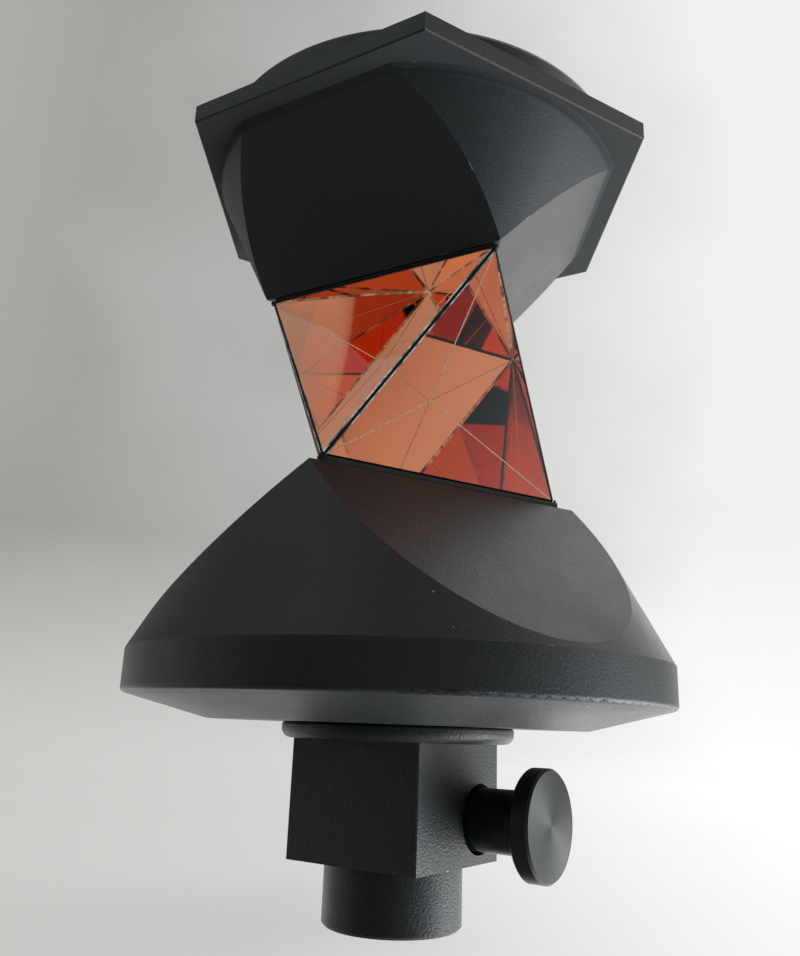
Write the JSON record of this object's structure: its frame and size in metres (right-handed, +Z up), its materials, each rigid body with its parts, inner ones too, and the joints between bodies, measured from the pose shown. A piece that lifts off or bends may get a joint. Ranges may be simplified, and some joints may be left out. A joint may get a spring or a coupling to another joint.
{
  "type": "360 degree survey prism",
  "caption": "Survey target: corner-cube prisms round a vertical axis between two faceted black housings, over a square pole socket with a sprung release button.",
  "frame": {"origin": "centre of the socket's seat face, where the pole's shoulder meets it, on the vertical axis", "axes": "+Z up the vertical axis towards the top cover; azimuth 0 is -Y, and the side of the socket block that holds the button faces 55 degrees from it towards +X"},
  "size_m": [0.0876, 0.0882, 0.1368],
  "materials": {
    "prism_glass": "polished optical glass with copper-coloured mirror coating on the three back faces",
    "mirror_cement": "black optical cement",
    "core_metal": "machined",
    "black_rubber": "matte",
    "black_anodised": "bead-blasted, black anodised",
    "black_steel": "black oxide",
    "plain_steel": "turned",
    "spring_steel": "bright drawn wire and stamping"
  },
  "bodies": {
    "head": {"corner_prism_1": "prism_glass", "corner_prism_2": "prism_glass", "corner_prism_3": "prism_glass", "corner_prism_4": "prism_glass", "corner_prism_5": "prism_glass", "corner_prism_6": "prism_glass", "bond_layers": "mirror_cement", "corner_sealant": "black_rubber", "upper_core": "core_metal", "lower_core": "core_metal", "upper_gasket": "black_rubber", "lower_gasket": "black_rubber", "upper_housing": "black_anodised", "top_cover": "black_anodised", "top_cover_screw": "black_steel", "top_seal_ring": "black_rubber", "lower_housing": "black_anodised", "bottom_cover": "black_anodised", "bottom_seal_ring": "black_rubber", "upper_core_washer": "plain_steel", "lower_core_washer": "plain_steel", "upper_core_nut": "plain_steel", "lower_core_nut": "plain_steel", "socket_body": "black_anodised", "flange_seal": "black_rubber", "button_spring": "spring_steel", "guide_screw": "black_steel"},
    "button": {"release_button": "black_anodised", "lock_plunger": "plain_steel", "plunger_clip": "spring_steel"}
  },
  "joints": [
    {"name": "button_press", "type": "slide", "parent": "head", "child": "button", "axis": [-0.8192, 0.5736, 0], "range_m": [0, 0.003], "stiffness_N_per_m": 1500, "springref_m": -0.0015, "deforming": ["button_spring"]}
  ]
}
